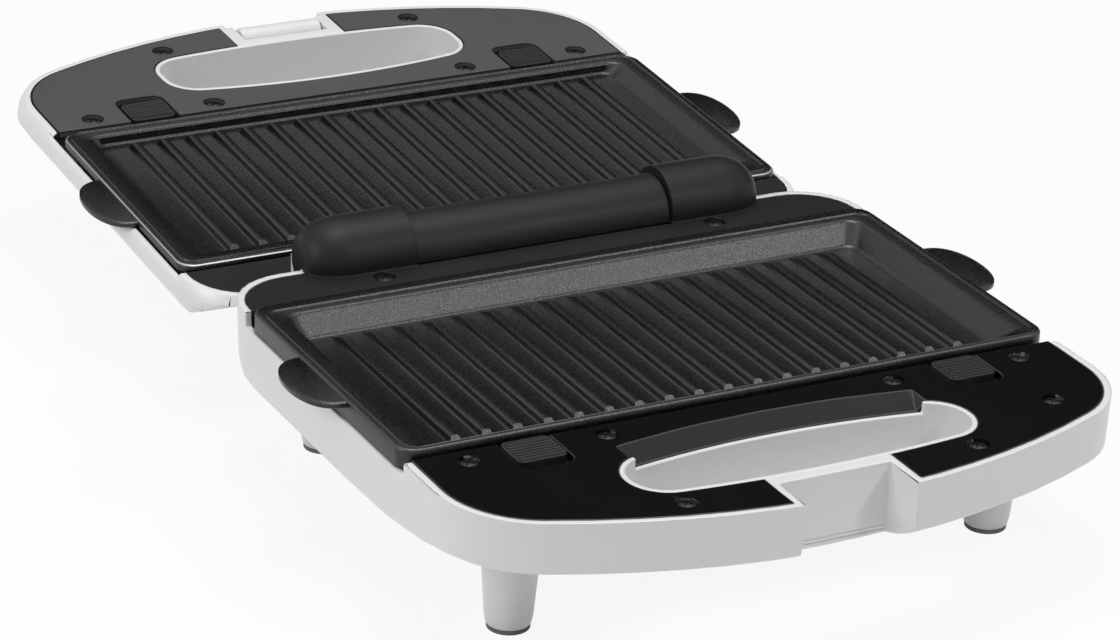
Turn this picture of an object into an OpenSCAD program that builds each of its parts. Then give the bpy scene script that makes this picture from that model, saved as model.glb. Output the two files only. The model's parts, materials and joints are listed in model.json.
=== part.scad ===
// Sandwich toaster, opened flat. Each half is drawn in its own half frame: x along the hinge,
// y = 0 at the hinge axis and negative towards the grip, z = 0 at its deck, plate side up.

/* [Overall] */
// Height of the lower deck and of the hinge axis above the table
deck_h = 55.5; // [50:0.5:70]
// Half width of the black decks
half_w = 115; // [110:1:120]
// Distance from the hinge axis to the front edge of the decks
front_reach = 219.5; // [217:0.5:222]
// Gap between the two decks when the lid is closed
closed_gap = 10; // [9:0.5:10]
// Angle by which the open lid stands above flat
rest_tilt = 3.2; // [2:0.1:5]

/* [Shells] */
// Wall thickness of the white shells
wall = 2.4; // [2:0.2:3]
// How far the shells stand out past the decks
lip = 2.5; // [2:0.5:3]
// Depth of the lower shell below its deck
lower_depth = 30; // [28:1:32]
// Depth of the lid's dome below its deck
lid_depth = 38; // [37:0.5:42]
// Height of the lower shell's front wall
front_wall = 17; // [15:1:19]
// How far the lower shell's sides drop along the plate
lower_side_drop = 5.5; // [4:0.5:6]
// How far the lid's sides drop along the plate
lid_side_drop = 1.5; // [1.5:0.5:3]

/* [Hinge] */
// Radius of the lid's centre barrel
barrel_r = 12.8; // [12:0.2:13]
// Radius of the two bosses on the lower half
boss_r = 14; // [13.5:0.1:14.2]
// Height of the bosses' centre above the hinge axis
boss_rise = 1.5; // [1:0.5:2]
// Distance of the bosses' inner faces from the middle
boss_in = 48.8; // [46:0.2:52]
// Distance of the bosses' outer ends from the middle
boss_out = 86.5; // [84:1:90]
// Radius of the hinge pins
pin_r = 4; // [3:0.5:4]

/* [Plates] */
// Half width of the plates
plate_w = 116.5; // [114:0.5:117]
// Front edge of the plates, measured from the hinge axis
plate_front = 145; // [144:0.5:146]
// Front edge of the lid's plate, measured from the hinge axis
lid_plate_front = 142.5; // [142:0.5:146]
// Rear edge of the plates, measured from the hinge axis
plate_rear = 28; // [26:0.5:28]
// Height of the plate rim above the deck
rim_h = 1.5; // [1:0.25:2]
// Depth of the lower plate's food cavity
lower_cavity = 8; // [6:0.5:8]
// Depth of the lid plate's food cavity
lid_cavity = 4.5; // [4:0.5:6]
// Number of grill ribs on each plate
rib_count = 18; // [14:1:20]
// Height of the ribs
rib_h = 2.7; // [2:0.1:3]
// Reach of the side tabs past the plate's edge
tab_reach = 12; // [8:0.5:13]

/* [Grip and clip] */
// Half length of the finger opening
grip_half = 61.5; // [58:0.5:64]
// Half width of the front clip notch
notch_half = 19.8; // [19:0.2:24]
// Width of the clip
clip_w = 33; // [30:1:36]
// Length of the clip's tongue below its pivot
clip_len = 42; // [41:0.5:44]

/* [Catches] */
// Width of a plate catch button
catch_w = 17; // [15:0.5:17]
// Length of a plate catch button
catch_l = 15.5; // [12:0.5:16]
// Travel of a plate catch
catch_travel = 4; // [3:0.5:4]

/* [Legs] */
// Radius of a leg where it meets the shell
leg_top_r = 9.4; // [8:0.2:11]
// Radius of a leg at its foot
leg_foot_r = 7.2; // [6:0.2:8]
// Radius of a grey foot pad
pad_r = 6.9; // [6:0.1:7]

/* [Hidden] */
$fn = 48;
eps = 0.01;
// middle of the open toaster's length, measured from the hinge axis
middle_y = 2.4;
deck_t = 2.5;
// outline of the decks: two rear corners, two front corners and a shallow front arc
rear_corner_r = 20;
rear_edge = 5.5;
front_corner_r = 32;
front_corner_y = 170;
// finger opening
grip_front = 201;
lid_grip_rear = 162;
lower_grip_rear = 166.8;
grip_front_r = 450;
grip_rear_r = 290;
grip_corner_r = 13.5;
ring_t = 1.8;
scoop_half = 53;
scoop_rear = 158.4;
scoop_depth = 3.6;
scoop_lip_t = 1.6;
notch_back = 205;
notch_deck_edge = notch_half + 2.4;
// two steps at the foot of the notch's back wall: height below the deck and depth
notch_steps = [[21.6, 0.6], [23.4, 1.2]];
// fasteners
screw_spots = [[-99, -155], [99, -155], [-51.5, -154.5], [51.5, -154.5], [-51.3, -205], [51.3, -205]];
extra_screw = [91, -186.8];
rear_screw_spots = [[-63, -17.9], [63, -17.9]];
screw_head_r = 3.2;
screw_recess_r = 3.7;
screw_r = 1.5;
short_screw = 5.6;
// catches
catch_x = 77.2;
catch_near = 147.4;
pocket_l = catch_l + catch_travel + 0.5;
catch_spring_r = 1.7;
// plates
plate_corner_r = 6;
pan_t = 2.6;
skirt_bottom = -6;
rib_pitch = 10.75;
tab_half = 18.5;
tab_y = -86;
// clip
clip_y = -213;
clip_z = -3.5;
clip_bar_r = 4.5;
clip_pin_r = 1.5;
clip_hook = 11.2;
// legs
foot_x = 87;
front_foot_y = -161.5;
rear_foot_y = -24;
pad_t = 1.4;
leg_h = deck_h - lower_depth - pad_t + 1.6;
// cord gland
gland_r = 3.6;
gland_flange_r = 4.5;
gland_z = -19.8;
// heating
heater_r = 3.2;

function arc(c, r, a0, a1, n) =
    [for (i = [0:n]) c + r * [cos(a0 + (a1 - a0) * i / n), sin(a0 + (a1 - a0) * i / n)]];

// deck outline moved outwards by d, clockwise from the rear right corner; its front can be
// drawn back by s, which also makes its front corners rounder
function deck_points(d, s = 0) = let (
        r = front_corner_r + 1.5 * s,
        cx = half_w - r,
        cy = front_corner_y - 2.5 * s,
        drop = front_reach - s - cy,
        big_r = (pow(cx, 2) + pow(drop, 2) - pow(r, 2)) / (2 * (drop - r)),
        a = atan2(drop - big_r, cx))
    concat(
        arc([half_w - rear_corner_r, -rear_edge - rear_corner_r], rear_corner_r + d, 90, 0, 8),
        arc([cx, -cy], r + d, 0, a, 10),
        arc([0, big_r - front_reach + s], big_r + d, a, -180 - a, 14),
        arc([-cx, -cy], r + d, -180 - a, -180, 10),
        arc([-half_w + rear_corner_r, -rear_edge - rear_corner_r], rear_corner_r + d, 180, 90, 8));

// finger opening moved outwards by d, clockwise from the rear right corner
function grip_corner_y(edge, big_r, side) =
    edge + side * (big_r - sqrt(pow(big_r - grip_corner_r, 2) - pow(grip_half - grip_corner_r, 2)));
function grip_points(d, rear) = let (
        cx = grip_half - grip_corner_r,
        rear_y = grip_corner_y(-rear, grip_rear_r, -1),
        front_y = grip_corner_y(-grip_front, grip_front_r, 1),
        rear_a = acos(cx / (grip_rear_r - grip_corner_r)),
        front_a = acos(cx / (grip_front_r - grip_corner_r)))
    concat(
        arc([0, -rear - grip_rear_r], grip_rear_r + d, 180 - rear_a, rear_a, 12),
        arc([cx, rear_y], grip_corner_r + d, rear_a, 0, 8),
        arc([cx, front_y], grip_corner_r + d, 0, -front_a, 8),
        arc([0, -grip_front + grip_front_r], grip_front_r + d, -front_a, front_a - 180, 12),
        arc([-cx, front_y], grip_corner_r + d, front_a - 180, -180, 8),
        arc([-cx, rear_y], grip_corner_r + d, 180, 180 - rear_a, 8));

module deck_area(d) { polygon(deck_points(d)); }
module grip_area(d, rear) { polygon(grip_points(d, rear)); }

module box(lo, hi) { translate(lo) cube(hi - lo); }
module both_sides() { for (s = [-1, 1]) mirror([s < 0 ? 1 : 0, 0, 0]) children(); }

// a bar with the given side view (points are [y, z]) that runs from x0 to x1
module side_prism(points, x0, x1) {
    translate([x0, 0, 0]) rotate([90, 0, 90]) linear_extrude(x1 - x0) polygon(points);
}

module x_cylinder(r, x0, x1, y, z) {
    translate([x0, y, z]) rotate([0, 90, 0]) cylinder(r = r, h = x1 - x0);
}

module y_cylinder(r, y0, y1, z) {
    translate([0, y0, z]) rotate([-90, 0, 0]) cylinder(r = r, h = y1 - y0);
}

// places a half's geometry in the finished toaster
module in_lower() { translate([0, -middle_y, deck_h]) children(); }
module in_lid() {
    translate([0, -middle_y, deck_h]) rotate([rest_tilt, 0, 0])
        translate([0, 0, -closed_gap]) mirror([0, 1, 0]) children();
}

// ---- shells -----------------------------------------------------------------------------

module slice(d, z, s = 0) { translate([0, 0, z]) linear_extrude(eps) polygon(deck_points(d, s)); }

// the belly's levels: height, how far the front is drawn back, how far the outline stands out
belly_levels = [[-front_wall, 0, lip - 0.5], [-19.6, 4, lip - 0.7], [-22.3, 9, lip - 1.1],
    [-25.5, 17, lip - 2], [-28.6, 29, lip - 4], [-lower_depth, 45, lip - 7]];
module lower_body(inset) {
    intersection() {
        hull() {
            slice(lip - inset, -eps);
            for (level = belly_levels) slice(level[2] - inset, level[0] + inset, level[1]);
        }
        side_prism([[2, 2], [2, -20], [-3, -26], [-12, -lower_depth + inset],
            [-230, -lower_depth + inset], [-230, 2]], -130, 130);
    }
}

// the lid's levels: height, front drawn back, how far the outline stands out, scale about dome_y
dome_y = -105;
lid_levels = [[-eps, 0, lip, 1], [-3.5, 0, lip + 2, 1], [-7, 0, lip + 2.5, 1], [-11, 1, lip, 1],
    [-15, 3, lip - 4, 1], [-20, 7, lip - 8, 1], [-26, 7, lip - 8, 0.95], [-32, 7, lip - 8, 0.88],
    [-36, 7, lip - 8, 0.79], [-lid_depth, 7, lip - 8, 0.66]];
module lid_body(inset) {
    intersection() {
        hull() for (level = lid_levels)
            translate([0, dome_y, level[0] + min(inset, -level[0] / 2)]) linear_extrude(eps) scale(level[3])
                translate([0, -dome_y]) polygon(deck_points(level[2] - inset, level[1]));
        side_prism([[2, 2], [-lip, -2.5 + inset], [-40, -22 + inset], [-84, -lid_depth + inset],
            [-226, -lid_depth + inset], [-226, 2]], -130, 130);
    }
}

// lowered stretch of the side walls beside the plate; the walls' front part ends in a rounded corner
module side_drop(drop) {
    round_r = min(2.2, drop);
    side_prism(concat([[-plate_rear + 0.5, 20], [-plate_rear + 0.5, -drop], [-plate_front - 2.5, -drop]],
        arc([-plate_front - 2.5 - round_r, -round_r], round_r, 0, 90, 6),
        [[-plate_front - 2.5 - round_r, 20]]), -140, 140);
}

// clip notch in the front of a half: back wall, cheeks and the cut between them
module notch_walls(depth) {
    box([-notch_deck_edge, -notch_back, -depth], [notch_deck_edge, -grip_front + ring_t, 0]);
    both_sides()
        box([notch_half, -front_reach - lip + 0.5, -depth], [notch_deck_edge, -notch_back + 1, 0]);
}
module notch_cut() {
    box([-notch_half, -front_reach - 10, -60], [notch_half, -notch_back, 10]);
}

module screw_posts(spots, depth) {
    for (p = spots) translate([p[0], p[1], -depth]) cylinder(r = 4, h = depth - deck_t);
}
module screw_pilots(spots, depth = 16) {
    for (p = spots) translate([p[0], p[1], -depth]) cylinder(r = screw_r, h = depth + 4);
}

module leg() {
    translate([0, 0, -deck_h + pad_t]) rotate_extrude()
        polygon([[0, 0], [leg_foot_r - 0.3, 0], [leg_foot_r, 0.6], [leg_foot_r + 0.5, 3],
            [leg_top_r, leg_h], [0, leg_h]]);
}
module each_foot() {
    for (sx = [-1, 1], y = [front_foot_y, rear_foot_y]) translate([sx * foot_x, y, 0]) children();
}

module boss_body(extra) {
    // a plain cylinder with a domed outer end, along +x
    dome = 15;
    steps = 8;
    translate([0, 0, boss_rise]) rotate([90, 0, 90]) rotate_extrude()
        polygon(concat([[0, boss_in - extra], [boss_r + extra, boss_in - extra]],
            [for (i = [0:steps]) [(boss_r + extra) * pow(cos(80 * i / steps), 0.8),
                boss_out - dome + (dome + extra) * sin(90 * i / steps)]],
            [[0, boss_out + extra]]));
}

module lower_shell() {
    color("whitesmoke") in_lower() difference() {
        union() {
            difference() {
                lower_body(0);
                lower_body(wall);
                side_drop(lower_side_drop);
            }
            intersection() {
                lower_body(0);
                union() {
                    notch_walls(40);
                    screw_posts(concat(screw_spots, [extra_screw], rear_screw_spots), 40);
                }
            }
            // ridge above the edge that the clip hooks under
            intersection() {
                lower_body(0);
                box([-notch_half, -notch_back - 1, -30], [notch_half, -notch_back + 1, -20]);
            }
            // lobes that carry the hinge bosses
            both_sides() side_prism([[-5, -0.6], [-5, -29], [3, -28], [9, -23], [12.6, -14],
                [13.2, -0.6]], boss_in + 0.4, boss_out - 3);
        }
        translate([0, 0, -45]) linear_extrude(50) grip_area(0, lower_grip_rear);
        notch_cut();
        for (step = notch_steps)
            box([-notch_half, -notch_back - 5, -40], [notch_half, -notch_back + step[1], -step[0]]);
        each_foot() leg();
        screw_pilots(concat(screw_spots, [extra_screw], rear_screw_spots));
        x_cylinder(barrel_r + 0.9, -boss_in, boss_in, 0, 0);
        both_sides() boss_body(0.1);
        // seat of the cord gland in the rear wall
        y_cylinder(gland_r, -15, 5, gland_z);
        y_cylinder(gland_flange_r + 0.1, -12, -6.6, gland_z);
        y_cylinder(gland_flange_r + 0.1, -3.6, 5, gland_z);
        // seats of the frame edges and of the trough under the barrel
        translate([0, 0, -deck_t]) linear_extrude(10) difference() {
            deck_area(0);
            grip_area(0, lower_grip_rear);
            translate([-notch_deck_edge, -250]) square([2 * notch_deck_edge, 50]);
        }
        x_cylinder(barrel_r + 2.6, -boss_in - 0.1, boss_in + 0.1, 0, 0);
    }
}

module grip_ring(depth, rear) {
    translate([0, 0, -depth]) linear_extrude(depth) difference() {
        grip_area(0, rear);
        grip_area(-ring_t, rear);
    }
}
// lining of the finger opening, lowered along the scooped lip
module lower_grip_lining() {
    color("whitesmoke") in_lower() intersection() {
        lower_body(0);
        difference() {
            grip_ring(40, lower_grip_rear);
            box([-scoop_half + 1.5, -lower_grip_rear - 12, -scoop_depth - 0.2],
                [scoop_half - 1.5, -150, 5]);
        }
    }
}
module lid_grip_lining() {
    color("whitesmoke") in_lid() intersection() {
        lid_body(0);
        grip_ring(50, lid_grip_rear);
    }
}

module lower_legs() { color("whitesmoke") in_lower() each_foot() leg(); }

module lid_shell() {
    color("whitesmoke") in_lid() difference() {
        union() {
            difference() {
                lid_body(0);
                lid_body(wall);
                side_drop(lid_side_drop);
            }
            intersection() {
                lid_body(0);
                union() {
                    notch_walls(50);
                    screw_posts(concat(screw_spots, rear_screw_spots), 50);
                    hinge_room(wall);
                    // lugs that carry the clip's pin
                    both_sides() box([clip_w / 2 + 0.6, clip_y - 5, -9], [notch_half, -notch_back, 1]);
                }
            }
        }
        translate([0, 0, -55]) linear_extrude(60) grip_area(0, lid_grip_rear);
        difference() {
            notch_cut();
            both_sides() box([clip_w / 2 + 0.6, clip_y - 5, -9], [notch_half + 1, 0, 1]);
        }
        x_cylinder(clip_pin_r, -notch_half - 3, notch_half + 3, clip_y, clip_z);
        screw_pilots(screw_spots);
        screw_pilots(rear_screw_spots, short_screw + 2);
        translate([0, 0, -deck_t]) linear_extrude(10) difference() {
            deck_area(0);
            grip_area(0, lid_grip_rear);
            translate([-notch_deck_edge, -250]) square([2 * notch_deck_edge, 50]);
        }
        hinge_room(0);
        // room for the rear frame's web
        box([-boss_in + 0.3, -14.7, -7.1], [boss_in - 0.3, 10, 5]);
        for (p = lamp_spots) translate([p[0], p[1], -40]) cylinder(r = lamp_r, h = 40);
    }
}

// what the lid leaves free round the lower half's hinge bosses and their lobes
module hinge_room(extra) {
    both_sides() {
        x_cylinder(boss_r + boss_rise + 0.7 + extra, boss_in - 0.3 - extra, boss_out + 0.6 + extra,
            0, closed_gap);
        box([boss_in - 0.3 - extra, -15.2 - extra, -60], [boss_out + 0.6 + extra, 10, closed_gap]);
    }
}

// ---- frames -----------------------------------------------------------------------------

module screw_seats(spots) {
    for (p = spots) translate([p[0], p[1], 0]) {
        translate([0, 0, -1.6]) cylinder(r = screw_recess_r, h = 3);
        translate([0, 0, -6]) cylinder(r = screw_r + 0.2, h = 8);
    }
}

module rounded_area(x0, x1, y0, y1, r) {
    polygon(concat(arc([x1 - r, y1 - r], r, 90, 0, 6), arc([x1 - r, y0 + r], r, 0, -90, 6),
        arc([x0 + r, y0 + r], r, -90, -180, 6), arc([x0 + r, y1 - r], r, 180, 90, 6)));
}

// slot through the deck above a catch, and the pocket under it that guides the catch
module catch_slot() {
    both_sides() {
        translate([0, 0, -4]) linear_extrude(10)
            rounded_area(catch_x - 9.1, catch_x + 9.1, -catch_near - pocket_l, -140, 4);
        box([catch_x - 9.9, -catch_near - pocket_l - 0.5, -6], [catch_x + 9.9, -140, -deck_t]);
    }
}
module catch_pocket() {
    both_sides()
        box([catch_x - 11.5, -catch_near - pocket_l - 2, -7.5], [catch_x + 11.5, -catch_near - 0.6, -1]);
}

module front_frame(spots, rear) {
    difference() {
        union() {
            translate([0, 0, -deck_t]) linear_extrude(deck_t) intersection() {
                deck_area(-0.1);
                translate([-150, -250]) square([300, 250 - catch_near - 0.6]);
            }
            catch_pocket();
        }
        translate([0, 0, -20]) linear_extrude(30) {
            grip_area(0.05, rear);
            translate([-notch_deck_edge - 0.05, -250])
                square([2 * notch_deck_edge + 0.1, 250 - grip_front + ring_t]);
        }
        catch_slot();
        screw_seats(spots);
    }
}

// the scooped lip slopes from an arc on the deck down to the lining
module scoop_cut() {
    hull() {
        linear_extrude(1) intersection() {
            translate([0, -scoop_rear - grip_rear_r]) circle(r = grip_rear_r, $fn = 180);
            translate([-scoop_half, -lower_grip_rear - 6]) square([2 * scoop_half, 40]);
        }
        translate([0, 0, -scoop_depth]) linear_extrude(eps) intersection() {
            grip_area(0.1, lower_grip_rear);
            translate([-scoop_half + 3, -lower_grip_rear - 8]) square([2 * scoop_half - 6, 40]);
        }
    }
}

module lower_front_frame() {
    all_screws = concat(screw_spots, [extra_screw]);
    color("#1b1a19") in_lower() difference() {
        union() {
            front_frame(all_screws, lower_grip_rear);
            // the deck is thicker under the scoop
            translate([0, 0, -scoop_depth - scoop_lip_t]) linear_extrude(scoop_depth) difference() {
                intersection() {
                    translate([0, -scoop_rear - grip_rear_r]) circle(r = grip_rear_r + 2, $fn = 180);
                    translate([-scoop_half - 1, -lower_grip_rear - 6]) square([2 * scoop_half + 2, 40]);
                }
                grip_area(0.05, lower_grip_rear);
            }
        }
        scoop_cut();
        screw_seats(all_screws);
    }
}

module lid_front_frame() {
    color("#2a2826") in_lid() front_frame(screw_spots, lid_grip_rear);
}

module rear_strip() {
    translate([0, 0, -deck_t]) linear_extrude(deck_t) intersection() {
        deck_area(-0.1);
        translate([-150, -plate_rear + 0.6]) square([300, 40]);
    }
}

module lower_rear_frame() {
    color("#1d1c1b") in_lower() difference() {
        union() {
            rear_strip();
            // trough in which the lid's barrel turns
            intersection() {
                x_cylinder(barrel_r + 2.5, -boss_in, boss_in, 0, 0);
                box([-60, -30, -30], [60, -3.2, -eps]);
            }
            both_sides() boss_body(0);
        }
        x_cylinder(barrel_r + 0.5, -boss_in + 0.02, boss_in - 0.02, 0, 0);
        both_sides() x_cylinder(pin_r + 0.01, boss_in - 1, boss_out - 8, 0, 0);
        screw_seats(rear_screw_spots);
    }
}

module lid_rear_frame() {
    color("#2b2a29") in_lid() difference() {
        union() {
            difference() {
                rear_strip();
                hinge_room(0);
            }
            x_cylinder(barrel_r, -boss_in + 0.4, boss_in - 0.4, 0, closed_gap);
            // web between the barrel and the deck
            box([-boss_in + 0.4, -14.6, -7], [boss_in - 0.4, -5, -1]);
            // stop that meets the lower half's rear wall when the lid is open
            both_sides() box([25, -3, -9.5], [42, 3.4, -3]);
        }
        x_cylinder(pin_r + 0.06, -boss_in, boss_in, 0, closed_gap);
        screw_seats(rear_screw_spots);
    }
}

// ---- plates -----------------------------------------------------------------------------

// cross-section of a grill rib with a rounded crest
rib_base = 5;
rib_crest_r = 1.1;
rib_profile = concat([[-rib_base / 2, 0], [rib_base / 2, 0], [rib_base / 2, 0.5]],
    arc([0, rib_h + 0.5 - rib_crest_r], rib_crest_r, 25, 155, 8), [[-rib_base / 2, 0.5]]);

module plate(depth, drop, front, front_flange, rear_flange, front_slope, rear_slope, bead_inset) {
    floor_z = rim_h - depth;
    y0 = -front;
    y1 = -plate_rear;
    side_flange = 8;
    bead = 2.2;
    ribs_half = rib_pitch * (rib_count - 1) / 2;
    rib_y0 = y0 + front_flange + front_slope + 1.5;
    rib_y1 = y1 - rear_flange - rear_slope - 1;
    difference() {
        union() {
            // rim and skirt
            translate([0, 0, -drop]) linear_extrude(rim_h + drop)
                rounded_area(-plate_w, plate_w, y0, y1, plate_corner_r);
            translate([0, 0, skirt_bottom]) linear_extrude(-skirt_bottom)
                rounded_area(-plate_w + 2.4, plate_w - 2.4, y0, y1, plate_corner_r);
            // pan
            translate([0, 0, floor_z - pan_t]) linear_extrude(depth)
                rounded_area(-plate_w + 8, plate_w - 8, y0 + 2.5, y1 - 8, plate_corner_r);
            // raised bead round the rim
            linear_extrude(rim_h + 0.6) difference() {
                rounded_area(-plate_w + bead, plate_w - bead, y0 + 0.5, y1 - bead_inset, 5);
                rounded_area(-plate_w + bead + 1.1, plate_w - bead - 1.1, y0 + 1.5,
                    y1 - bead_inset - 1.1, 4);
            }
            both_sides() translate([0, 0, -1.3]) linear_extrude(2.2)
                polygon([for (i = [0:16]) [plate_w - 2 + (tab_reach + 2) * pow(sin(180 * i / 16), 0.65),
                    tab_y + tab_half * cos(180 * i / 16)]]);
        }
        // food cavity with sloping walls
        hull() {
            translate([0, 0, rim_h]) linear_extrude(eps) rounded_area(-plate_w + side_flange,
                plate_w - side_flange, y0 + front_flange, y1 - rear_flange, 5);
            translate([0, 0, floor_z]) linear_extrude(eps) rounded_area(-plate_w + side_flange + 4,
                plate_w - side_flange - 4, y0 + front_flange + front_slope,
                y1 - rear_flange - rear_slope, 4);
        }
        box([-200, y0 + front_flange, rim_h], [200, y0 + front_flange + eps, rim_h + eps]);
        translate([0, 0, rim_h + eps / 2]) linear_extrude(5)
            rounded_area(-plate_w + side_flange, plate_w - side_flange,
                y0 + front_flange, y1 - rear_flange, 5);
        // hollow under the rim, between the skirt and the pan
        translate([0, 0, skirt_bottom - 1]) linear_extrude(-skirt_bottom - 1.5) difference() {
            rounded_area(-plate_w + 4, plate_w - 4, y0 + 2, y1 - 2, 5);
            rounded_area(-plate_w + 8, plate_w - 8, y0 + 4.2, y1 - 8, plate_corner_r);
        }
        // slots that the catches' tongues enter
        both_sides() box([catch_x - 6, y0 - 1, -5.6], [catch_x + 6, y0 + 3.6, -3]);
    }
    // ribs with ramped ends
    intersection() {
        for (i = [0:rib_count - 1]) translate([i * rib_pitch - ribs_half, 0, floor_z - 0.5])
            rotate([90, 0, 0]) linear_extrude(-rib_y0) polygon(rib_profile);
        side_prism([[rib_y0, floor_z - 0.5], [rib_y0, floor_z], [rib_y0 + rib_h, floor_z + rib_h],
            [rib_y1 - rib_h, floor_z + rib_h], [rib_y1, floor_z], [rib_y1, floor_z - 0.5]], -120, 120);
    }
}

module lower_plate() {
    color("#1c1c1c") in_lower()
        plate(lower_cavity, lower_side_drop - 0.3, plate_front, 1.8, 9.5, 10, 4.5, 5);
}
module lid_plate() {
    color("#242424") in_lid()
        plate(lid_cavity, lid_side_drop - 0.3, lid_plate_front, 4.6, 8, 3, 3, 2.5);
}

// ---- heating ----------------------------------------------------------------------------

module heater(z) {
    run = 70;
    gap = 27;
    mid = -86;
    for (s = [-1, 1]) x_cylinder(heater_r, -run - 18, run, mid + s * gap, z);
    translate([run, mid, z]) rotate([0, 0, -90]) rotate_extrude(angle = 180)
        translate([gap, 0]) circle(r = heater_r);
    for (s = [-1, 1]) x_cylinder(1.2, -run - 26, -run - 18, mid + s * gap, z);
}

module reflector(top, bottom) {
    difference() {
        box([-104, -128, bottom], [104, -46, top]);
        box([-103, -127, bottom + 1], [103, -47, top + 1]);
    }
}

// two steel saddles that hold the element in its tray
module heater_saddles(z, bottom) {
    for (x = [-40, 40], s = [-1, 1]) difference() {
        box([x - 4, -86 + s * 27 - 6, bottom + 1], [x + 4, -86 + s * 27 + 6, z]);
        x_cylinder(heater_r, x - 5, x + 5, -86 + s * 27, z);
    }
}

function under_plate(depth) = min(rim_h - depth - pan_t, skirt_bottom);
lower_heater_z = under_plate(lower_cavity) - heater_r - 0.2;
lid_heater_z = under_plate(lid_cavity) - heater_r - 0.2;
module lower_heater() { color("dimgray") in_lower() heater(lower_heater_z); }
module lid_heater() { color("dimgray") in_lid() heater(lid_heater_z); }
module lower_reflector() { color("silver") in_lower() reflector(-14, -20.5); }
module lid_reflector() { color("silver") in_lid() reflector(-11, -17); }
module lower_heater_saddles() { color("gray") in_lower() heater_saddles(lower_heater_z, -20.5); }
module lid_heater_saddles() { color("gray") in_lid() heater_saddles(lid_heater_z, -17); }

module thermostat() {
    color("tan") in_lower() {
        translate([0, -86, lower_heater_z - 6.4]) cylinder(r = 9, h = 9.6);
        box([-3, -88, lower_heater_z + 3], [3, -84, lower_heater_z + 3.2]);
    }
}
module thermal_fuse() { color("goldenrod") in_lower() x_cylinder(2, 26, 44, -86, lower_heater_z + 0.4); }
module terminal_block() { color("ivory") in_lower() box([-22, -40, -27.4], [12, -28, -17]); }

module cord_gland() {
    color("#202020") in_lower() difference() {
        union() {
            y_cylinder(gland_r - 0.02, -8, -2.2, gland_z);
            y_cylinder(gland_flange_r, -8, -6.62, gland_z);
            y_cylinder(gland_flange_r, -3.58, -2.2, gland_z);
        }
        y_cylinder(2.9, -10, 0, gland_z);
    }
}

// ---- hinge, clip and catches ----------------------------------------------------------------

pin_x0 = 36;
module hinge_pin_right() { color("silver") in_lower() x_cylinder(pin_r, pin_x0, boss_out - 9, 0, 0); }
module hinge_pin_left() {
    color("silver") in_lower() difference() {
        x_cylinder(pin_r, -boss_out + 9, -pin_x0, 0, 0);
        x_cylinder(2.4, -boss_out, -pin_x0 + 1, 0, 0);
    }
}
module wire_sleeve() { color("firebrick") in_lower() x_cylinder(2.3, -boss_out + 10, -pin_x0 - 1, 0, 0); }

module lid_clip() {
    tip = clip_z - clip_len;
    color("white") in_lid() difference() {
        union() {
            x_cylinder(clip_bar_r, -clip_w / 2, clip_w / 2, clip_y, clip_z);
            side_prism([[clip_y + 1.7, clip_z], [clip_y + 1.7, tip], [clip_y - clip_hook + 0.8, tip],
                [clip_y - clip_hook, tip + 0.8], [clip_y - clip_hook, tip + 2.4], [clip_y - 1.7, tip + 2.4],
                [clip_y - 1.7, clip_z]], -clip_w / 2, clip_w / 2);
            // finger rib across the tongue
            side_prism([[clip_y + 1.5, tip + 4], [clip_y + 3, tip + 5], [clip_y + 3, tip + 7],
                [clip_y + 1.5, tip + 8]], -clip_w / 2 + 2, clip_w / 2 - 2);
        }
        x_cylinder(clip_pin_r + 0.05, -30, 30, clip_y, clip_z);
    }
}
module clip_pin() {
    color("silver") in_lid()
        x_cylinder(clip_pin_r - 0.01, -notch_half - 2.4, notch_half + 2.4, clip_y, clip_z);
}

module catch(front) {
    y1 = -catch_near;
    y0 = y1 - catch_l;
    difference() {
        union() {
            translate([0, 0, -4]) linear_extrude(4.3)
                rounded_area(catch_x - catch_w / 2, catch_x + catch_w / 2, y0, y1 - 0.5, 2.5);
            box([catch_x - 9.4, y0, -5.6], [catch_x + 9.4, y1 - 0.9, -2.9]);
            box([catch_x - 5.5, y1 - 2, -5.3], [catch_x + 5.5, -front + 2, -3.4]);
        }
        // fine grooves across the button
        for (i = [0:5]) box([catch_x - 12, y0 + 2.2 + i * 1.7, 0], [catch_x + 12, y0 + 2.9 + i * 1.7, 1]);
    }
}
module catch_spring() {
    y0 = -catch_near - pocket_l - 0.4;
    y1 = -catch_near - catch_l - 0.35;
    translate([catch_x, y0, -4.2]) rotate([-90, 0, 0]) difference() {
        cylinder(r = catch_spring_r, h = y1 - y0);
        translate([0, 0, -1]) cylinder(r = catch_spring_r - 0.5, h = 20);
    }
}
module left() { mirror([1, 0, 0]) children(); }
catch_colour = "#333938";
module lower_catch_left() { color(catch_colour) in_lower() left() catch(plate_front); }
module lower_catch_right() { color(catch_colour) in_lower() catch(plate_front); }
module lid_catch_left() { color(catch_colour) in_lid() left() catch(lid_plate_front); }
module lid_catch_right() { color(catch_colour) in_lid() catch(lid_plate_front); }
module lower_catch_spring_left() { color("silver") in_lower() left() catch_spring(); }
module lower_catch_spring_right() { color("silver") in_lower() catch_spring(); }
module lid_catch_spring_left() { color("silver") in_lid() left() catch_spring(); }
module lid_catch_spring_right() { color("silver") in_lid() catch_spring(); }

// ---- screws, feet and lamps -----------------------------------------------------------------

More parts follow.
